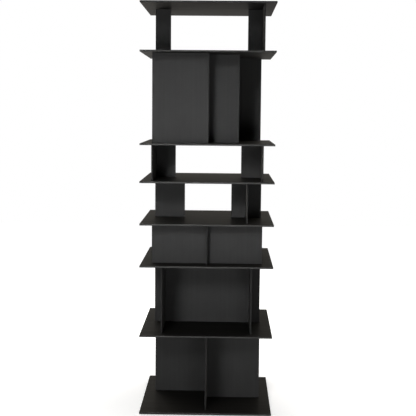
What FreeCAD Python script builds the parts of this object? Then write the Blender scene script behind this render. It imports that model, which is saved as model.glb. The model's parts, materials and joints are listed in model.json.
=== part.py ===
import FreeCAD, Part
import math
import os
import Sketcher

# A free-standing book tower: square boards held apart by thin upright panels, open on all four sides.
# +Z is up and the origin is on the floor, under the middle of the base.
# The front faces -Y, +X is to the right.
# Each panel stands in stopped grooves milled in the boards below and above it. Panels that cross are halved
# into each other, and a panel that ends on the face of another is housed in it.
# Turned half a turn about Z, the tower looks the same.

# Driving dimensions in millimetres.
SIZES = {
    # Square boards.
    "plate_width": 620,
    "plate_thickness": 8,
    # Clear height of each bay, from the floor up.
    "bay1_height": 360,
    "bay2_height": 320,
    "bay3_height": 188,
    "bay4_height": 188,
    "bay5_height": 166,
    "bay6_height": 415,
    "bay7_height": 212,
    # Upright panels.
    "panel_thickness": 6,
    "panel_inset": 50,
    # Panel layout: an offset is from the tower's axis, an inset from the reach of the panels,
    # a setback from the screen at the same end of the wall, and a length is what shows of the panel.
    "bay1_wing_offset": 50,
    "bay2_flange_inset": 50,
    "bay3_flange_inset": 50,
    "bay4_flange_length": 146,
    "bay5_wing_length": 94,
    "bay6_screen_inset": 50,
    "bay6_wing_setback": 100,
    "bay6_wing_length": 143,
    "bay7_wing_length": 68,
    # Joints.
    "groove_depth": 2.5,
    "groove_shoulder": 10,
    "housing_depth": 1.5,
    "fit_clearance": 0.15,
    "arris": 0.5,
    # Felt glides.
    "glide_diameter": 36,
    "glide_thickness": 2,
    "glide_inset": 60,
}

CLEAR_HEIGHTS = {
    1: "Sizes.bay1_height",
    2: "Sizes.bay2_height",
    3: "Sizes.bay3_height",
    4: "Sizes.bay4_height",
    5: "Sizes.bay5_height",
    6: "Sizes.bay6_height",
    7: "Sizes.bay7_height",
}
PLATES = ["base_plate"] + [f"shelf_plate_{bay}" for bay in list(CLEAR_HEIGHTS)[:-1]] + ["top_plate"]
SIDES = {"left": -1, "right": 1}

doc = FreeCAD.newDocument("book_tower")
sheet = doc.addObject("Spreadsheet::Sheet", "Sizes")
for row, (name, value) in enumerate(SIZES.items(), start=1):
    sheet.set(f"A{row}", name)
    sheet.set(f"B{row}", str(value))
    sheet.setAlias(f"B{row}", name)
doc.recompute()

# Lengths that several pieces share, as expressions on the driving dimensions.
WIDTH = "Sizes.plate_width"
PLATE = "Sizes.plate_thickness"
PANEL = "Sizes.panel_thickness"
FACE = f"{PANEL} / 2"
REACH = f"({WIDTH} / 2 - Sizes.panel_inset)"
GROOVE = "Sizes.groove_depth"
SHOULDER = "Sizes.groove_shoulder"
HOUSING = "Sizes.housing_depth"
PLAY = "Sizes.fit_clearance"
SLOT_WIDTH = f"({PANEL} + 2 * {PLAY})"


def bind(thing, **sizes):
    """Ties properties of an object to expressions. Two underscores in a name stand for a dot."""
    for name, expression in sizes.items():
        thing.setExpression(name.replace("__", "."), str(expression))


def underside(level):
    """Height of a board's underside above the floor. Level 0 is the base."""
    below = [height for bay, height in CLEAR_HEIGHTS.items() if bay <= level]
    return " + ".join(["Sizes.glide_thickness", f"{level} * {PLATE}"] + below)


def make_body(label):
    """An empty body whose label names its file."""
    body = doc.addObject("PartDesign::Body", label)
    body.Label = label
    return body


def make_sketch(body, name, turn=0, **offset):
    """A sketch on the body's XY plane, moved by the given expressions and turned about its normal."""
    sketch = body.newObject("Sketcher::SketchObject", name)
    plane = next(item for item in body.Origin.OriginFeatures if item.Role == "XY_Plane")
    sketch.AttachmentSupport = [(plane, "")]
    sketch.MapMode = "FlatFace"
    up = FreeCAD.Vector(0, 0, 1)
    sketch.AttachmentOffset = FreeCAD.Placement(FreeCAD.Vector(), FreeCAD.Rotation(up, turn))
    bind(sketch, **{f"AttachmentOffset__Base__{axis}": value for axis, value in offset.items()})
    return sketch


def constrain(sketch, kind, *places, size=None):
    """Adds one constraint. With a size, the constraint is tied to that expression."""
    if size is None:
        sketch.addConstraint(Sketcher.Constraint(kind, *places))
        return
    start = sketch.evalExpression(str(size))
    index = sketch.addConstraint(Sketcher.Constraint(kind, *places, float(start)))
    sketch.setExpression(f"Constraints[{index}]", str(size))


def draw_rectangle(sketch, width, height):
    """A rectangle about the sketch's origin."""
    x = sketch.evalExpression(str(width)) / 2
    y = sketch.evalExpression(str(height)) / 2
    corners = [FreeCAD.Vector(*at) for at in ((-x, -y), (x, -y), (x, y), (-x, y))]
    for start, end in zip(corners, corners[1:] + corners[:1]):
        sketch.addGeometry(Part.LineSegment(start, end))
    for edge in range(4):
        constrain(sketch, "Coincident", edge, 2, (edge + 1) % 4, 1)
    for edge, kind in enumerate(("Horizontal", "Vertical", "Horizontal", "Vertical")):
        constrain(sketch, kind, edge)
    constrain(sketch, "Symmetric", 0, 1, 2, 1, -1, 1)
    constrain(sketch, "DistanceX", 0, 1, 0, 2, size=width)
    constrain(sketch, "DistanceY", 1, 1, 1, 2, size=height)


def draw_slot(sketch, run, width):
    """A round-ended slot about the sketch's origin. run is the distance between the centres of its ends."""
    half = sketch.evalExpression(str(run)) / 2
    radius = sketch.evalExpression(str(width)) / 2
    normal = FreeCAD.Vector(0, 0, 1)
    quarter = math.pi / 2
    right = Part.Circle(FreeCAD.Vector(half, 0), normal, radius)
    left = Part.Circle(FreeCAD.Vector(-half, 0), normal, radius)
    sketch.addGeometry(Part.ArcOfCircle(right, -quarter, quarter))
    sketch.addGeometry(Part.LineSegment(FreeCAD.Vector(half, radius), FreeCAD.Vector(-half, radius)))
    sketch.addGeometry(Part.ArcOfCircle(left, quarter, 3 * quarter))
    sketch.addGeometry(Part.LineSegment(FreeCAD.Vector(-half, -radius), FreeCAD.Vector(half, -radius)))
    for edge in range(4):
        constrain(sketch, "Tangent", edge, 2, (edge + 1) % 4, 1)
    constrain(sketch, "Equal", 0, 2)
    constrain(sketch, "Symmetric", 0, 3, 2, 3, -1, 1)
    constrain(sketch, "Horizontal", 1)
    constrain(sketch, "DistanceX", 2, 3, 0, 3, size=run)
    constrain(sketch, "Diameter", 0, size=width)


def pad(body, sketch, thickness, symmetric):
    """Adds material over a sketch."""
    feature = body.newObject("PartDesign::Pad", f"{sketch.Name}_pad")
    feature.Profile = sketch
    feature.SideType = "Symmetric" if symmetric else "One side"
    bind(feature, Length=thickness)
    doc.recompute()
    return feature


def pocket(body, sketch, depth=None, upwards=False):
    """Cuts a sketch into the body, down or up to a depth, or with no depth right through both ways."""
    before = body.Shape.Volume
    feature = body.newObject("PartDesign::Pocket", f"{sketch.Name}_cut")
    feature.Profile = sketch
    if depth is None:
        feature.Type = "ThroughAll"
        feature.SideType = "Symmetric"
    else:
        feature.Reversed = upwards
        bind(feature, Length=depth)
    doc.recompute()
    if body.Shape.Volume >= before:
        raise RuntimeError(f"{feature.Name} cuts nothing")


def chamfer(body, base, wanted):
    """Breaks the sharp arrises of a feature's edges that run as wanted says."""
    names = [f"Edge{i}" for i, edge in enumerate(base.Shape.Edges, start=1) if wanted(edge.tangentAt(0))]
    feature = body.newObject("PartDesign::Chamfer", f"{base.Name}_arris")
    feature.Base = (base, names)
    bind(feature, Size="Sizes.arris")
    doc.recompute()


class Panel:
    """An upright panel.

    Its body lies flat: X along the run from the middle, Y up from the lower board, Z through the panel.
    """

    def __init__(self, name, bay, run, across, start, end):
        self.name = name
        self.bay = bay
        self.run = run
        self.across = across
        self.length = f"({end} - ({start}))"
        self.middle = f"(({start} + ({end})) / 2)"
        self.height = CLEAR_HEIGHTS[bay]
        self.tongue = f"({self.length} - 2 * {SHOULDER})"
        self.body = make_body(name)
        self.make_blade()
        self.stand_up()

    def make_blade(self):
        """The blade between the boards, and the core whose ends are the tongues in their grooves."""
        middle = f"{self.height} / 2"
        blade = make_sketch(self.body, f"{self.name}_blade", y=middle)
        draw_rectangle(blade, self.length, self.height)
        blade_pad = pad(self.body, blade, PANEL, symmetric=True)
        chamfer(self.body, blade_pad, lambda along: abs(along.y) > 0.9)
        core = make_sketch(self.body, f"{self.name}_tongues", y=middle)
        draw_rectangle(core, self.tongue, f"{self.height} + 2 * {GROOVE}")
        pad(self.body, core, PANEL, symmetric=True)

    def stand_up(self):
        """Turns the flat body upright and sets it on its board. A run along y turns +X to the back."""
        upright = FreeCAD.Rotation(FreeCAD.Vector(1, 0, 0), 90)
        turned = FreeCAD.Rotation(FreeCAD.Vector(0, 0, 1), 90 if self.run == "y" else 0)
        self.body.Placement.Rotation = turned.multiply(upright)
        x, y = (self.middle, self.across) if self.run == "x" else (self.across, self.middle)
        bind(
            self.body,
            Placement__Base__x=x,
            Placement__Base__y=y,
            Placement__Base__z=f"{underside(self.bay - 1)} + {PLATE}",
        )

    def halve(self, other, from_above):
        """Cuts the open slot that takes the other panel, half as deep as this one is high."""
        depth = f"({self.height} / 2 + {GROOVE} + {PLAY})"
        lower = f"({self.height} / 2 - {PLAY})" if from_above else f"(0 - {GROOVE})"
        place = f"{other.across} - {self.middle}"
        slot = make_sketch(self.body, f"{self.name}_for_{other.name}", x=place, y=f"{lower} + {depth} / 2")
        draw_rectangle(slot, SLOT_WIDTH, depth)
        pocket(self.body, slot)

    def house(self, other, towards):
        """Cuts the shallow upright housing for another panel's end. towards is the side it comes from."""
        local_up = towards if self.run == "y" else -towards
        place = f"{other.across} - {self.middle}"
        name = f"{self.name}_for_{other.name}"
        housing = make_sketch(self.body, name, x=place, y=f"{self.height} / 2", z=f"{local_up} * {FACE}")
        draw_rectangle(housing, SLOT_WIDTH, f"{self.height} + 2 * {GROOVE}")
        pocket(self.body, housing, HOUSING, upwards=local_up < 0)


def make_panels():
    """All upright panels, bay by bay, with the joints between them."""
    panels = []

    def panel(name, bay, run, across, start, end):
        panels.append(Panel(name, bay, run, across, start, end))
        return panels[-1]

    def wing(name, wall, across, side, free_end, seat):
        """A panel along X, housed in a wall's face. side points from the wall to the free end."""
        housed_end = f"({seat} - {side} * {HOUSING})"
        low, high = (housed_end, free_end) if side > 0 else (free_end, housed_end)
        made = panel(name, wall.bay, "x", across, low, high)
        wall.house(made, side)

    # Bay 1: one wall from front to back, with a wing to each side, staggered.
    wall = panel("bay1_wall", 1, "y", "0", f"-{REACH}", REACH)
    for word, side in SIDES.items():
        seat = f"({side} * {FACE})"
        offset = f"({-side} * Sizes.bay1_wing_offset)"
        free_end = f"({side} * {REACH})"
        wing(f"bay1_{word}_wing", wall, offset, side, free_end, seat)

    # Bays 2 and 3: a web with two flanges halved across it, in bay 3 turned a quarter turn.
    for bay, run, cross_run, words, inset in (
        (2, "x", "y", ("left", "right"), "Sizes.bay2_flange_inset"),
        (3, "y", "x", ("front", "back"), "Sizes.bay3_flange_inset"),
    ):
        web = panel(f"bay{bay}_web", bay, run, "0", f"-{REACH}", REACH)
        for word, side in zip(words, SIDES.values()):
            offset = f"({side} * ({REACH} - {inset}))"
            flange = panel(f"bay{bay}_{word}_flange", bay, cross_run, offset, f"-{REACH}", REACH)
            web.halve(flange, from_above=True)
            flange.halve(web, from_above=False)

    # Bay 4: two T shapes. The left stem points to the back and the right stem to the front.
    for word, side in SIDES.items():
        outer = f"({side} * {REACH})"
        inner = f"({side} * ({REACH} - Sizes.bay4_flange_length))"
        low, high = (inner, outer) if side > 0 else (outer, inner)
        flange = panel(f"bay4_{word}_flange", 4, "x", "0", low, high)
        middle = f"({side} * ({REACH} - Sizes.bay4_flange_length / 2))"
        seat = f"({FACE} - {HOUSING})"
        low, high = (f"-{REACH}", f"(0 - {seat})") if side > 0 else (seat, REACH)
        stem = panel(f"bay4_{word}_stem", 4, "y", middle, low, high)
        flange.house(stem, -side)

    # Bay 5: a wall at each side, with a short wing inwards from its middle.
    for word, side in SIDES.items():
        wall = panel(f"bay5_{word}_wall", 5, "y", f"({side} * ({REACH} - {FACE}))", f"-{REACH}", REACH)
        seat = f"({side} * ({REACH} - {PANEL}))"
        free_end = f"({seat} - {side} * Sizes.bay5_wing_length)"
        wing(f"bay5_{word}_wing", wall, "0", -side, free_end, seat)

    # Bay 6: a wall with a screen at each end, one to each side, and a wing on the side away from each screen.
    screen_at = f"({REACH} - Sizes.bay6_screen_inset)"
    wing_at = f"({screen_at} - Sizes.bay6_wing_setback)"
    wall_end = f"({screen_at} - {FACE})"
    wall = panel("bay6_wall", 6, "y", "0", f"-{wall_end}", wall_end)
    for word, side in SIDES.items():
        outer = f"({side} * {REACH})"
        flush = f"({-side} * {FACE})"
        low, high = (flush, outer) if side > 0 else (outer, flush)
        panel(f"bay6_{word}_screen", 6, "x", f"({side} * {screen_at})", low, high)
        seat = f"({side} * {FACE})"
        free_end = f"({seat} + {side} * Sizes.bay6_wing_length)"
        wing(f"bay6_{word}_wing", wall, f"({-side} * {wing_at})", side, free_end, seat)

    # Bay 7: two L shapes. The left wall runs to the back and the right wall to the front.
    for word, side in SIDES.items():
        low, high = (f"-{REACH}", FACE) if side > 0 else (f"-{FACE}", REACH)
        panel(f"bay7_{word}_wall", 7, "y", f"({side} * ({REACH} - {FACE}))", low, high)
        seat = f"({side} * ({REACH} - {PANEL}))"
        free_end = f"({seat} - {side} * Sizes.bay7_wing_length)"
        low, high = (free_end, seat) if side > 0 else (seat, free_end)
        panel(f"bay7_{word}_wing", 7, "x", "0", low, high)

    return panels


def make_plate(level, panels):
    """A square board with broken arrises, grooved for the panels of the bays above and below it."""
    label = PLATES[level]
    body = make_body(label)
    outline = make_sketch(body, f"{label}_outline")
    draw_rectangle(outline, WIDTH, WIDTH)
    board = pad(body, outline, PLATE, symmetric=False)
    chamfer(body, board, lambda along: True)
    for panel in panels:
        if panel.bay not in (level, level + 1):
            continue
        above = panel.bay == level + 1
        x, y = (panel.middle, panel.across) if panel.run == "x" else (panel.across, panel.middle)
        turn = 0 if panel.run == "x" else 90
        groove = make_sketch(body, f"{label}_for_{panel.name}", turn, x=x, y=y, z=PLATE if above else "0")
        draw_slot(groove, panel.tongue, SLOT_WIDTH)
        pocket(body, groove, GROOVE, upwards=not above)
    bind(body, Placement__Base__z=underside(level))
    return body


def make_glides():
    """Felt discs under the base: one near each corner and one in the middle."""
    label = "felt_glides"
    out = f"({WIDTH} / 2 - Sizes.glide_inset)"
    places = [("0", "0")] + [(f"{x} * {out}", f"{y} * {out}") for x in (-1, 1) for y in (-1, 1)]
    discs = []
    for number, (x, y) in enumerate(places, start=1):
        disc = doc.addObject("Part::Cylinder", f"felt_disc_{number}")
        bind(disc, Radius="Sizes.glide_diameter / 2", Height="Sizes.glide_thickness")
        bind(disc, Placement__Base__x=x, Placement__Base__y=y)
        discs.append(disc)
    glides = doc.addObject("Part::Compound", label)
    glides.Label = label
    glides.Links = discs
    return glides


def check(subparts):
    """Stops before anything is written if an object failed or a sub-part's shape is missing or not valid."""
    for thing in doc.Objects:
        if "Invalid" in thing.State or "Error" in thing.State:
            raise RuntimeError(f"{thing.Name} failed: {thing.State}")
    for subpart in subparts:
        if subpart.Shape.isNull() or not subpart.Shape.isValid():
            raise RuntimeError(f"{subpart.Label} has no valid shape")


def write(subparts):
    """One file for each sub-part, named by its label."""
    os.makedirs("parts", exist_ok=True)
    for subpart in subparts:
        subpart.Shape.exportStep(os.path.join("parts", f"{subpart.Label}.step"))


upright_panels = make_panels()
plates = [make_plate(level, upright_panels) for level in range(len(PLATES))]
pieces = [panel.body for panel in upright_panels] + plates + [make_glides()]
doc.recompute()
check(pieces)
write(pieces)
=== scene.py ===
import json
import math

import bpy
from bpy.props import FloatProperty, FloatVectorProperty, IntProperty, PointerProperty
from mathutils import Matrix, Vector


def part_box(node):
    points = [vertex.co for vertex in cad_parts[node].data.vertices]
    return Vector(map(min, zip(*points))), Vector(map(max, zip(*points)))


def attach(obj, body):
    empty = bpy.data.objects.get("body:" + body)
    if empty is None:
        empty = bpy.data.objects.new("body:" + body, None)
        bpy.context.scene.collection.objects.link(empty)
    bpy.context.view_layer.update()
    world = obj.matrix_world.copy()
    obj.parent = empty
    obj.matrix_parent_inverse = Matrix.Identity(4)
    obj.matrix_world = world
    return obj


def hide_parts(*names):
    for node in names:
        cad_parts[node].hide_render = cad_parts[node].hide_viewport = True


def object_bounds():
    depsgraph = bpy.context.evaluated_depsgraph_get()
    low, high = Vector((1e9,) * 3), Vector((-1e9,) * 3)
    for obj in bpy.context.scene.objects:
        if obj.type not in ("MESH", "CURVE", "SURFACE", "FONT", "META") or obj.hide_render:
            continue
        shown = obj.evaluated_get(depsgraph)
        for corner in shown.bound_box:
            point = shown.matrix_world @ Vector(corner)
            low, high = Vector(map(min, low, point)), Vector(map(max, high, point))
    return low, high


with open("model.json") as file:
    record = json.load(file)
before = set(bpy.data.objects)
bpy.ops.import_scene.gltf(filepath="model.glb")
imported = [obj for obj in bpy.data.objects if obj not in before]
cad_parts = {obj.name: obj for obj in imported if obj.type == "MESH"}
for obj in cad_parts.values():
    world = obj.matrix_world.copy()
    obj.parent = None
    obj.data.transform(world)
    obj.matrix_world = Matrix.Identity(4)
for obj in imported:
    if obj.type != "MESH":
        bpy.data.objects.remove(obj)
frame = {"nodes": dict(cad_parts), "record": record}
cad_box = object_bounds()

bl_info = {
    "name": "Book Tower",
    "version": (1, 0, 0),
    "blender": (4, 5, 0),
    "location": "3D View > Sidebar > Book Tower",
    "description": "Finishes a black book tower's boards, panels and felt glides and sets up its studio",
    "category": "Object",
}

FLOOR_HEIGHT = cad_box[0].z
BASE_REACH = cad_box[1].x
SENSOR_WIDTH_MM = 36
SMOOTH_ANGLE = math.radians(60)
AXES = "XYZ"
WHITE = (1.0, 1.0, 1.0)

# Most values of a noise lie in the first band. The others pick out its higher values.
NOISE_BAND = (0.3, 0.7)
RUBBED_BAND = (0.4, 0.65)
FLECK_BAND = (0.55, 0.8)
FELT_FLECK_BAND = (0.5, 0.75)

# A surface's lie is 0 on a board's sawn edges, 1 on its faces, and between them on an arris.
EDGE_BAND = (0.4, 0.6)
ARRIS_LIE = math.sqrt(0.5)
ARRIS_TOLERANCE = 0.1


def nodes_in_slot(slot):
    """Names of the tower's nodes whose finish comes from one of the record's material slots."""
    return [row["node"] for row in frame["record"]["subparts"] if row["material_slot"] == slot]


def colour_property(name, description, default):
    """A colour that a user can change."""
    return FloatVectorProperty(
        name=name,
        description=description,
        subtype="COLOR",
        min=0,
        max=1,
        precision=4,
        default=default,
    )


def length_property(name, description, default):
    """A length in metres that a user can change."""
    return FloatProperty(
        name=name,
        description=description,
        unit="LENGTH",
        min=0,
        precision=5,
        default=default,
    )


def share_property(name, description, default):
    """A share from 0 to 1 that a user can change."""
    return FloatProperty(
        name=name,
        description=description,
        subtype="FACTOR",
        min=0,
        max=1,
        precision=3,
        default=default,
    )


def count_property(name, description, least, default):
    """A whole number that a user can change."""
    return IntProperty(name=name, description=description, min=least, default=default)


def place_property(name, description, default):
    """A point in the tower's frame that a user can change."""
    return FloatVectorProperty(
        name=name,
        description=description,
        subtype="XYZ",
        unit="LENGTH",
        default=default,
    )


def size_property(name, description, default):
    """A width and a height in metres that a user can change."""
    return FloatVectorProperty(
        name=name,
        description=description,
        unit="LENGTH",
        size=2,
        min=0,
        default=default,
    )


def power_property(name, description, default):
    """A lamp's power in watts that a user can change."""
    return FloatProperty(name=name, description=description, unit="POWER", min=0, default=default)


def angle_property(name, description, degrees):
    """An angle that a user can change."""
    return FloatProperty(name=name, description=description, subtype="ANGLE", default=math.radians(degrees))


class BoardSettings(bpy.types.PropertyGroup):
    """The lacquer on the square boards."""

    # Painted shade: the faces are painted far darker than the panels' faces, though it is the same lacquer,
    # for the little light that falls on the boards' tops.
    colour: colour_property("Colour", "Lacquer on the faces", (0.0100, 0.0098, 0.0094))
    # Painted highlight: the edges are painted lighter than the faces, though it is the same lacquer, for the
    # light that falls on the boards' front edges.
    edge_colour: colour_property("Edge colour", "Sawn edges, which drink more lacquer", (0.066, 0.066, 0.065))
    roughness: share_property("Roughness", "Middle of the roughness, which wiping changes", 0.63)
    reflection: share_property("Reflection", "Strength of the blurred reflections", 0.015)
    coat: share_property("Coat", "Strength of the smooth clear coat", 0.02)


class PanelSettings(bpy.types.PropertyGroup):
    """The lacquer on the upright panels."""

    colour: colour_property("Colour", "Lacquer on the faces", (0.049, 0.049, 0.049))
    edge_colour: colour_property("Edge colour", "Sawn edges", (0.033, 0.033, 0.033))
    roughness: share_property("Roughness", "Middle of the roughness, which wiping changes", 0.55)
    reflection: share_property("Reflection", "Strength of the blurred reflections", 0.004)
    coat: share_property("Coat", "Strength of the smooth clear coat", 0.0)


class LacquerSettings(bpy.types.PropertyGroup):
    """What the lacquer on boards and panels has in common."""

    worn_colour: colour_property("Worn colour", "Dyed fibres on a rubbed arris", (0.085, 0.083, 0.080))
    wear: share_property("Wear", "How far the arrises are rubbed", 0.5)
    mottle: share_property("Mottle", "How far the colour drifts across a board", 0.08)
    mottle_size: length_property("Mottle size", "Width of a cloud in the colour", 0.09)
    fleck: share_property("Fleck", "How far fibres show through the film", 0.25)
    fibre_size: length_property("Fibre size", "Width of a fibre that shows through the film", 0.0009)
    fibre_height: share_property("Fibre height", "Height of a fibre as a share of a ripple's", 0.3)
    ripple_size: length_property("Ripple size", "Width of a ripple in the sprayed film", 0.004)
    ripple_depth: length_property("Ripple depth", "Height of a ripple in the sprayed film", 0.00004)
    wipe_length: length_property("Wipe length", "Length of a streak left by wiping", 0.5)
    wipe_width: length_property("Wipe width", "Width of a streak left by wiping", 0.012)
    roughness_spread: share_property("Roughness spread", "How far wiping changes the roughness", 0.05)
    coat_roughness: share_property("Coat roughness", "Roughness of the clear coat", 0.18)


class GlideSettings(bpy.types.PropertyGroup):
    """The felt discs under the base board."""

    diameter: length_property("Diameter", "Width of a felt disc", 0.036)
    rounding: length_property("Rounding", "Radius of a disc's pressed rim", 0.0006)
    sides: count_property("Sides", "Straight pieces round a disc's rim", 12, 96)
    rim_steps: count_property("Rim steps", "Steps in the rounding of the rim", 1, 4)
    rings: count_property("Rings", "Rings across a disc's faces", 1, 6)
    tuft_size: length_property("Tuft size", "Width of a matted tuft", 0.0025)
    tuft_depth: length_property("Tuft depth", "How deep the felt is pressed in between tufts", 0.0002)
    felt_colour: colour_property("Felt colour", "Pressed felt", (0.045, 0.045, 0.047))
    fleck_colour: colour_property("Fleck colour", "Pale fibres in the felt", (0.11, 0.11, 0.115))
    matting: share_property("Matting", "How far the colour drifts across a disc", 0.3)
    matting_size: length_property("Matting size", "Width of a cloud in the colour", 0.0048)
    fibre_size: length_property("Fibre size", "Width of a bundle of fibres", 0.0008)
    fibre_depth: length_property("Fibre depth", "Height of a bundle of fibres", 0.0004)
    roughness: share_property("Roughness", "Roughness of the felt", 0.95)
    reflection: share_property("Reflection", "Strength of the felt's reflections", 0.1)
    sheen: share_property("Sheen", "Strength of the sheen on loose fibres", 0.4)
    sheen_roughness: share_property("Sheen roughness", "Roughness of the sheen", 0.6)


class StudioSettings(bpy.types.PropertyGroup):
    """The floor, backdrop, lamps and camera."""

    camera_place: place_property("Camera place", "Where the camera stands", (0.0885, -4.620, 1.4275))
    camera_turn: FloatVectorProperty(
        name="Camera turn",
        description="How the camera is turned from looking straight down",
        subtype="EULER",
        unit="ROTATION",
        default=(math.radians(84.057), math.radians(-0.505), math.radians(1.151)),
    )
    lens: FloatProperty(name="Lens", description="Focal length", unit="CAMERA", min=1, default=81.73)
    floor_width: length_property("Floor width", "Width of the square floor", 14.0)
    floor_colour: colour_property("Floor colour", "Paint on the floor", (0.8, 0.8, 0.8))
    floor_glow: share_property("Floor glow", "How white the floor stays beside the tower", 0.55)
    shadow_reach: length_property("Shadow reach", "Distance at which the floor is all white", 2.2)
    backdrop_tint: colour_property("Backdrop tint", "The backdrop as seen in a gloss", (1.0, 0.94, 0.84))
    lamp_aim: place_property("Lamp aim", "Point that most lamps face", (0, 0, 1.2))
    key_place: place_property("Key place", "Middle of the left softbox", (-1.2, -3.29, 0.9))
    key_size: size_property("Key size", "Width and height of the left softbox", (0.7, 0.7))
    key_power: power_property("Key power", "Power of the left softbox", 25.5)
    fill_place: place_property("Fill place", "Middle of the right softbox", (0.85, -3.4, 0.6))
    fill_size: size_property("Fill size", "Width and height of the right softbox", (0.7, 0.7))
    fill_power: power_property("Fill power", "Power of the right softbox", 15.0)
    beam_size: size_property("Beam size", "Width and height of both lamps behind grids", (0.7, 0.5))
    beam_place: place_property("Beam place", "Middle of the high lamp", (-0.91, -3.38, 2.5))
    beam_power: power_property("Beam power", "Power of the high lamp", 1.5)
    beam_angle: angle_property("Beam angle", "Angle that the high lamp's grid leaves open", 24)
    low_beam_place: place_property("Low beam place", "Middle of the lower lamp", (-0.91, -3.38, 2.0))
    low_beam_aim: place_property("Low beam aim", "Point that the lower lamp faces", (0, 0, 0.55))
    low_beam_power: power_property("Low beam power", "Power of the lower lamp", 1.3)
    low_beam_angle: angle_property("Low beam angle", "Angle that the lower lamp's grid leaves open", 40)
    back_place: place_property("Back place", "Middle of the lamp behind on the left", (-2.05, 2.75, 1.0))
    back_size: size_property("Back size", "Width and height of the lamp behind on the left", (2.2, 1.6))
    back_power: power_property("Back power", "Power of the lamp behind on the left", 80.0)
    side_place: place_property("Side place", "Middle of the lamp behind on the right", (3.1, 1.5, 1.0))
    side_size: size_property("Side size", "Width and height of the lamp behind on the right", (2.2, 1.6))
    side_power: power_property("Side power", "Power of the lamp behind on the right", 65.0)
    warm_light: colour_property("Warm light", "Colour of the lamps behind the tower", (1.0, 0.95, 0.86))
    top_place: place_property("Top place", "Middle of the lamp overhead", (0, 0.4, 4.2))
    top_size: size_property("Top size", "Width and depth of the lamp overhead", (2.4, 2.4))
    top_power: power_property("Top power", "Power of the lamp overhead", 90.0)


def input_named(node, name):
    """An input by its identifier, which differs where inputs share a name, or else by its name."""
    for socket in node.inputs:
        if socket.identifier == name:
            return socket
    return node.inputs[name]


def add_node(tree, kind, inputs, **options):
    """Adds a node. Each input is given a value, or the socket that it is linked from."""
    node = tree.nodes.new(kind)
    for name, value in options.items():
        setattr(node, name, value)
    for name, value in inputs.items():
        socket = input_named(node, name)
        if isinstance(value, bpy.types.NodeSocket):
            tree.links.new(value, socket)
        else:
            socket.default_value = value
    return node


def add_place(tree):
    """The piece's own coordinates."""
    return add_node(tree, "ShaderNodeTexCoord", {}).outputs["Object"]


def add_unsigned(tree, vector):
    """The X, Y and Z parts of a vector without their signs."""
    unsigned = add_node(tree, "ShaderNodeVectorMath", {"Vector": vector}, operation="ABSOLUTE")
    return add_node(tree, "ShaderNodeSeparateXYZ", {"Vector": unsigned.outputs["Vector"]}).outputs


def add_noise(tree, place, size, detail):
    """Noise whose features are about the given size."""
    noise = add_node(tree, "ShaderNodeTexNoise", {"Vector": place, "Scale": 1 / size, "Detail": detail})
    return noise.outputs["Fac"]


def add_math(tree, operation, first, second):
    """One sum on two numbers or sockets."""
    node = add_node(tree, "ShaderNodeMath", {"Value": first, "Value_001": second}, operation=operation)
    return node.outputs["Value"]


def add_range(tree, value, band, target):
    """Spreads a value from one band over another and stops at its ends."""
    ends = {"From Min": band[0], "From Max": band[1], "To Min": target[0], "To Max": target[1]}
    return add_node(tree, "ShaderNodeMapRange", {"Value": value, **ends}).outputs["Result"]


def add_mix(tree, share, first, second):
    """A colour between two colours or sockets."""
    inputs = {"Factor_Float": share, "A_Color": first, "B_Color": second}
    node = add_node(tree, "ShaderNodeMix", inputs, data_type="RGBA")
    return next(socket for socket in node.outputs if socket.identifier == "Result_Color")


def add_drift(tree, share, colour, reach):
    """A colour that drifts from darker to lighter by a reach each way."""
    return add_mix(tree, share, opaque(colour, 1 - reach), opaque(colour, 1 + reach))


def add_bump(tree, height, depth):
    """A relief of the given depth that only bends the light."""
    relief = {"Height": height, "Strength": 1.0, "Distance": depth}
    return add_node(tree, "ShaderNodeBump", relief).outputs["Normal"]


def opaque(colour, share=1.0):
    """A colour for a socket, made lighter or darker by a share."""
    return (*(share * part for part in colour), 1.0)


def new_material(name):
    """A material and its empty tree."""
    material = bpy.data.materials.new(name)
    material.use_nodes = True
    material.node_tree.nodes.clear()
    return material, material.node_tree


def add_surface(tree, inputs):
    """The shader of a finished surface, with its output."""
    shader = add_node(tree, "ShaderNodeBsdfPrincipled", inputs)
    add_node(tree, "ShaderNodeOutputMaterial", {"Surface": shader.outputs["BSDF"]})


def add_wipes(tree, place, thin_axis, lacquer):
    """Streaks left by wiping, from side to side on the boards and upright on the panels."""
    along = "X" if thin_axis == "Z" else "Z"
    scale = [1 / lacquer.wipe_width] * len(AXES)
    scale[AXES.index(along)] = 1 / lacquer.wipe_length
    stretched = add_node(tree, "ShaderNodeMapping", {"Vector": place, "Scale": scale})
    return add_noise(tree, stretched.outputs["Vector"], size=1.0, detail=3)


def tell_edges(tree, thin_axis):
    """Shares of sawn edge and of arris, told apart by how a surface lies to the axis across its board."""
    normal = add_node(tree, "ShaderNodeNewGeometry", {}).outputs["True Normal"]
    lie = add_unsigned(tree, normal)[thin_axis]
    edge = add_range(tree, lie, EDGE_BAND, (1.0, 0.0))
    near_arris = {"Value": lie, "Value_001": ARRIS_LIE, "Value_002": ARRIS_TOLERANCE}
    arris = add_node(tree, "ShaderNodeMath", near_arris, operation="COMPARE").outputs["Value"]
    return edge, arris


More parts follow.
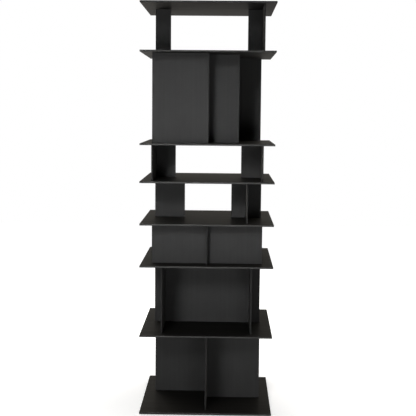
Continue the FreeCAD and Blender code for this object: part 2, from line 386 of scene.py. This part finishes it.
def make_lacquer(name, finish, thin_axis, lacquer):
    """Lacquer on dyed fibreboard, for boards or panels that are thin along one axis.

    It has clouded colour, fibre flecks, sawn edges, rubbed arrises, wiped streaks and sprayed ripples.
    On the boards the dark faces are painted shade and the lighter edges a painted highlight.
    """
    material, tree = new_material(name)
    place = add_place(tree)
    mottle = add_noise(tree, place, lacquer.mottle_size, detail=4)
    fibres = add_noise(tree, place, lacquer.fibre_size, detail=2)
    ripples = add_noise(tree, place, lacquer.ripple_size, detail=1)
    wipes = add_wipes(tree, place, thin_axis, lacquer)
    edge, arris = tell_edges(tree, thin_axis)

    # Clouds and streaks each give half of the drift in colour.
    clouds = add_range(tree, mottle, NOISE_BAND, (0.0, 0.5))
    streaks = add_range(tree, wipes, NOISE_BAND, (0.0, 0.5))
    # On the boards the face colour is painted shade, darker than the same lacquer on the panels.
    clouded = add_drift(tree, add_math(tree, "ADD", clouds, streaks), finish.colour, lacquer.mottle)
    fleck = add_range(tree, fibres, FLECK_BAND, (0.0, lacquer.fleck))
    faced = add_mix(tree, fleck, clouded, opaque(finish.edge_colour))
    # On the boards the edge colour is a painted highlight, lighter than the faces; on the panels it is darker
    # than the faces.
    edged = add_mix(tree, edge, faced, opaque(finish.edge_colour))
    rubbed = add_range(tree, mottle, RUBBED_BAND, (0.0, lacquer.wear))
    worn = add_mix(tree, add_math(tree, "MULTIPLY", arris, rubbed), edged, opaque(lacquer.worn_colour))

    spread = lacquer.roughness_spread
    wiped = add_range(tree, wipes, NOISE_BAND, (finish.roughness - spread, finish.roughness + spread))
    dulled = add_math(tree, "ADD", wiped, add_math(tree, "MULTIPLY", edge, spread))
    film = add_math(tree, "ADD", add_math(tree, "MULTIPLY", fibres, lacquer.fibre_height), ripples)
    surface = {
        "Base Color": worn,
        "Roughness": dulled,
        "Normal": add_bump(tree, film, lacquer.ripple_depth),
        "Specular IOR Level": finish.reflection,
        "Coat Weight": finish.coat,
        "Coat Roughness": lacquer.coat_roughness,
    }
    add_surface(tree, surface)
    return material


def make_felt(glides):
    """Pressed wool felt: clouded colour, pale flecks, raised fibres and a soft sheen."""
    material, tree = new_material("pressed_felt")
    place = add_place(tree)
    fibres = add_noise(tree, place, glides.fibre_size, detail=5)
    matting = add_noise(tree, place, glides.matting_size, detail=3)
    matted = add_drift(tree, matting, glides.felt_colour, glides.matting)
    flecks = add_range(tree, fibres, FELT_FLECK_BAND, (0.0, 1.0))
    surface = {
        "Base Color": add_mix(tree, flecks, matted, opaque(glides.fleck_colour)),
        "Roughness": glides.roughness,
        "Normal": add_bump(tree, fibres, glides.fibre_depth),
        "Specular IOR Level": glides.reflection,
        "Sheen Weight": glides.sheen,
        "Sheen Roughness": glides.sheen_roughness,
    }
    add_surface(tree, surface)
    return material


def see_backdrop(tree):
    """1 for a ray that sees the backdrop, straight, in a gloss or through glass, and 0 for other rays."""
    path = add_node(tree, "ShaderNodeLightPath", {}).outputs
    mirrored = add_math(tree, "MAXIMUM", path["Is Glossy Ray"], path["Is Transmission Ray"])
    return add_math(tree, "MAXIMUM", path["Is Camera Ray"], mirrored)


def make_floor_paint(studio):
    """Pale paint that glows white to the eye, less so beside the tower and not at all under it."""
    material, tree = new_material("floor_paint")
    matt = add_node(tree, "ShaderNodeBsdfDiffuse", {"Color": opaque(studio.floor_colour)})
    sides = add_unsigned(tree, add_place(tree))
    away = add_math(tree, "MAXIMUM", sides["X"], sides["Y"])
    whiteness = add_range(tree, away, (BASE_REACH, studio.shadow_reach), (studio.floor_glow, 1.0))
    uncovered = add_math(tree, "GREATER_THAN", away, BASE_REACH)
    glowing = add_math(tree, "MULTIPLY", whiteness, uncovered)
    strength = add_math(tree, "MULTIPLY", see_backdrop(tree), glowing)
    glow = add_node(tree, "ShaderNodeEmission", {"Strength": strength})
    layers = {"Shader": matt.outputs["BSDF"], "Shader_001": glow.outputs["Emission"]}
    both = add_node(tree, "ShaderNodeAddShader", layers)
    add_node(tree, "ShaderNodeOutputMaterial", {"Surface": both.outputs["Shader"]})
    return material


def paint(node_name, material):
    """Gives a CAD node one material."""
    mesh = frame["nodes"][node_name].data
    mesh.materials.clear()
    mesh.materials.append(material)


def thin_axis_of(node_name):
    """The letter of the axis along which a board or panel is thinnest."""
    low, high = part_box(node_name)
    return min(AXES, key=lambda axis: high[AXES.index(axis)] - low[AXES.index(axis)])


class TOWER_OT_finish_boards(bpy.types.Operator):
    """Lacquers the square boards."""

    bl_idname = "tower.finish_boards"
    bl_label = "Finish Boards"

    def execute(self, context):
        scene = context.scene
        material = make_lacquer("board_lacquer", scene.tower_boards, "Z", scene.tower_lacquer)
        for name in nodes_in_slot("plate_board"):
            paint(name, material)
        return {"FINISHED"}


class TOWER_OT_finish_panels(bpy.types.Operator):
    """Lacquers the upright panels, whichever way they run."""

    bl_idname = "tower.finish_panels"
    bl_label = "Finish Panels"

    def execute(self, context):
        scene = context.scene
        materials = {}
        for axis in "XY":
            name = f"panel_lacquer_across_{axis.lower()}"
            materials[axis] = make_lacquer(name, scene.tower_panels, axis, scene.tower_lacquer)
        for name in nodes_in_slot("panel_board"):
            paint(name, materials[thin_axis_of(name)])
        return {"FINISHED"}


class TOWER_OT_make_felt_glides(bpy.types.Operator):
    """Models the felt discs under the base board."""

    bl_idname = "tower.make_felt_glides"
    bl_label = "Make Felt Glides"

    def execute(self, context):
        glides = context.scene.tower_glides
        felt = make_felt(glides)
        (node_name,) = nodes_in_slot("felt")
        low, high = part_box(node_name)
        out = high.x - glides.diameter / 2
        places = [(0, 0)] + [(x * out, y * out) for x in (-1, 1) for y in (-1, 1)]
        pattern = self.make_disc(glides, low.z, high.z)
        pattern.data.materials.append(felt)
        for number, (x, y) in enumerate(places, start=1):
            disc = self.copy_disc(pattern, x, y)
            disc.name = f"felt_disc_{number}"
            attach(disc, "root")
            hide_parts(node_name)
        bpy.data.objects.remove(pattern)
        return {"FINISHED"}

    def make_disc(self, glides, bottom, top):
        """One disc on the tower's axis, with a rounded rim, rings across its faces and matted tufts."""
        radius = glides.diameter / 2
        bpy.ops.object.select_all(action="DESELECT")
        bpy.ops.mesh.primitive_cylinder_add(
            vertices=glides.sides,
            radius=radius,
            depth=top - bottom,
            location=(0, 0, (top + bottom) / 2),
        )
        disc = bpy.context.object
        bpy.ops.object.transform_apply(location=True)
        self.select_caps(disc)
        bpy.ops.mesh.region_to_loop()
        bpy.ops.mesh.bevel(offset=glides.rounding, segments=glides.rim_steps)
        self.select_caps(disc)
        for _ in range(glides.rings):
            bpy.ops.mesh.inset(thickness=radius / (glides.rings + 1))
        bpy.ops.object.mode_set(mode="OBJECT")
        self.press_tufts(disc, glides)
        bpy.ops.object.shade_smooth_by_angle(angle=SMOOTH_ANGLE)
        return disc

    def select_caps(self, disc):
        """Leaves the disc in edit mode with only its upper and lower face selected."""
        bpy.ops.object.mode_set(mode="EDIT")
        bpy.ops.mesh.select_mode(type="FACE")
        bpy.ops.mesh.select_all(action="DESELECT")
        bpy.ops.object.mode_set(mode="OBJECT")
        # Faces round the rim have four corners, and the caps have more.
        for face in disc.data.polygons:
            face.select = len(face.vertices) > 4
        bpy.ops.object.mode_set(mode="EDIT")

    def press_tufts(self, disc, glides):
        """Presses the surface in unevenly, so that the disc stays inside its outline."""
        tufts = bpy.data.textures.new("felt_tufts", type="CLOUDS")
        tufts.noise_scale = glides.tuft_size
        press = disc.modifiers.new("press", type="DISPLACE")
        press.texture = tufts
        press.mid_level = 1.0
        press.strength = glides.tuft_depth
        bpy.ops.object.modifier_apply(modifier=press.name)

    def copy_disc(self, pattern, x, y):
        """A copy of the disc with its own mesh, moved to its place."""
        bpy.ops.object.select_all(action="DESELECT")
        pattern.select_set(True)
        bpy.context.view_layer.objects.active = pattern
        bpy.ops.object.duplicate(linked=False)
        disc = bpy.context.object
        bpy.ops.object.mode_set(mode="EDIT")
        bpy.ops.mesh.select_all(action="SELECT")
        bpy.ops.transform.translate(value=(x, y, 0))
        bpy.ops.object.mode_set(mode="OBJECT")
        return disc


class TOWER_OT_set_studio(bpy.types.Operator):
    """Sets up the pale floor, the white backdrop, the lamps and the camera."""

    bl_idname = "tower.set_studio"
    bl_label = "Set Studio"

    def execute(self, context):
        studio = context.scene.tower_studio
        bpy.ops.object.select_all(action="DESELECT")
        self.lay_floor(studio)
        self.hang_backdrop(context.scene, studio)
        self.hang_lamps(studio)
        self.add_camera(context.scene, studio)
        context.scene.view_settings.view_transform = "Standard"
        return {"FINISHED"}

    def lay_floor(self, studio):
        """A pale floor that takes the tower's shadow."""
        bpy.ops.mesh.primitive_plane_add(size=studio.floor_width, location=(0, 0, FLOOR_HEIGHT))
        floor = bpy.context.object
        floor.name = "studio_floor"
        bpy.ops.object.transform_apply(location=True)
        floor.data.materials.append(make_floor_paint(studio))

    def hang_backdrop(self, scene, studio):
        """A backdrop all round, white to the eye and warm in a gloss, which lights nothing by itself."""
        world = bpy.data.worlds.new("studio_backdrop")
        world.use_nodes = True
        scene.world = world
        tree = world.node_tree
        tree.nodes.clear()
        straight = add_node(tree, "ShaderNodeLightPath", {}).outputs["Is Camera Ray"]
        colour = add_mix(tree, straight, opaque(studio.backdrop_tint), opaque(WHITE))
        light = add_node(tree, "ShaderNodeBackground", {"Color": colour, "Strength": see_backdrop(tree)})
        add_node(tree, "ShaderNodeOutputWorld", {"Surface": light.outputs["Background"]})

    def hang_lamps(self, studio):
        """Softboxes and gridded lamps in front, two warm lamps behind and one overhead."""
        aim = studio.lamp_aim
        low_aim = studio.low_beam_aim
        beam_size = studio.beam_size
        self.add_lamp("key_softbox", studio.key_place, aim, studio.key_size, studio.key_power)
        self.add_lamp("fill_softbox", studio.fill_place, aim, studio.fill_size, studio.fill_power)
        beam = self.add_lamp("grid_beam", studio.beam_place, aim, beam_size, studio.beam_power)
        beam.spread = studio.beam_angle
        low = self.add_lamp("low_grid_beam", studio.low_beam_place, low_aim, beam_size, studio.low_beam_power)
        low.spread = studio.low_beam_angle
        back = self.add_lamp("back_softbox", studio.back_place, aim, studio.back_size, studio.back_power)
        back.color = studio.warm_light
        side = self.add_lamp("side_softbox", studio.side_place, aim, studio.side_size, studio.side_power)
        side.color = studio.warm_light
        self.add_lamp("top_softbox", studio.top_place, aim, studio.top_size, studio.top_power)

    def add_lamp(self, name, place, aim, size, power):
        """A rectangular lamp that faces a point and doesn't show in the picture."""
        turn = (Vector(aim) - Vector(place)).to_track_quat("-Z", "Y").to_euler()
        bpy.ops.object.light_add(type="AREA", location=place, rotation=turn)
        lamp = bpy.context.object
        lamp.name = name
        lamp.visible_camera = False
        lamp.data.shape = "RECTANGLE"
        lamp.data.size, lamp.data.size_y = size
        lamp.data.energy = power
        return lamp.data

    def add_camera(self, scene, studio):
        """The camera, a little above the middle of the tower and just right of its axis."""
        bpy.ops.object.camera_add(location=studio.camera_place, rotation=studio.camera_turn)
        camera = bpy.context.object
        camera.name = "studio_camera"
        camera.data.sensor_width = SENSOR_WIDTH_MM
        camera.data.lens = studio.lens
        scene.camera = camera


class TOWER_PT_book_tower(bpy.types.Panel):
    """Lists the tower's pieces and its studio."""

    bl_idname = "TOWER_PT_book_tower"
    bl_label = "Book Tower"
    bl_space_type = "VIEW_3D"
    bl_region_type = "UI"
    bl_category = "Book Tower"

    def draw(self, context):
        for title, settings, operators in SECTIONS:
            box = self.layout.box()
            box.label(text=title)
            group = getattr(context.scene, settings)
            for name in group.__annotations__:
                box.prop(group, name)
            for operator in operators:
                box.operator(operator.bl_idname)


SETTINGS = {
    "tower_boards": BoardSettings,
    "tower_panels": PanelSettings,
    "tower_lacquer": LacquerSettings,
    "tower_glides": GlideSettings,
    "tower_studio": StudioSettings,
}
SECTIONS = [
    ("Boards", "tower_boards", [TOWER_OT_finish_boards]),
    ("Panels", "tower_panels", [TOWER_OT_finish_panels]),
    ("Lacquer on both", "tower_lacquer", []),
    ("Felt glides", "tower_glides", [TOWER_OT_make_felt_glides]),
    ("Studio", "tower_studio", [TOWER_OT_set_studio]),
]
OPERATORS = [operator for title, settings, operators in SECTIONS for operator in operators]


def register():
    """Registers the classes and hangs their settings on the scene."""
    for cls in (*SETTINGS.values(), *OPERATORS, TOWER_PT_book_tower):
        bpy.utils.register_class(cls)
    for name, cls in SETTINGS.items():
        setattr(bpy.types.Scene, name, PointerProperty(type=cls))


def unregister():
    """Undoes what register did, in the other order."""
    for name in SETTINGS:
        delattr(bpy.types.Scene, name)
    for cls in (TOWER_PT_book_tower, *reversed(OPERATORS), *reversed(SETTINGS.values())):
        bpy.utils.unregister_class(cls)


def main():
    """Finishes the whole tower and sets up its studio."""
    register()
    bpy.ops.tower.finish_boards()
    bpy.ops.tower.finish_panels()
    bpy.ops.tower.make_felt_glides()
    bpy.ops.tower.set_studio()


if __name__ == "__main__":
    main()
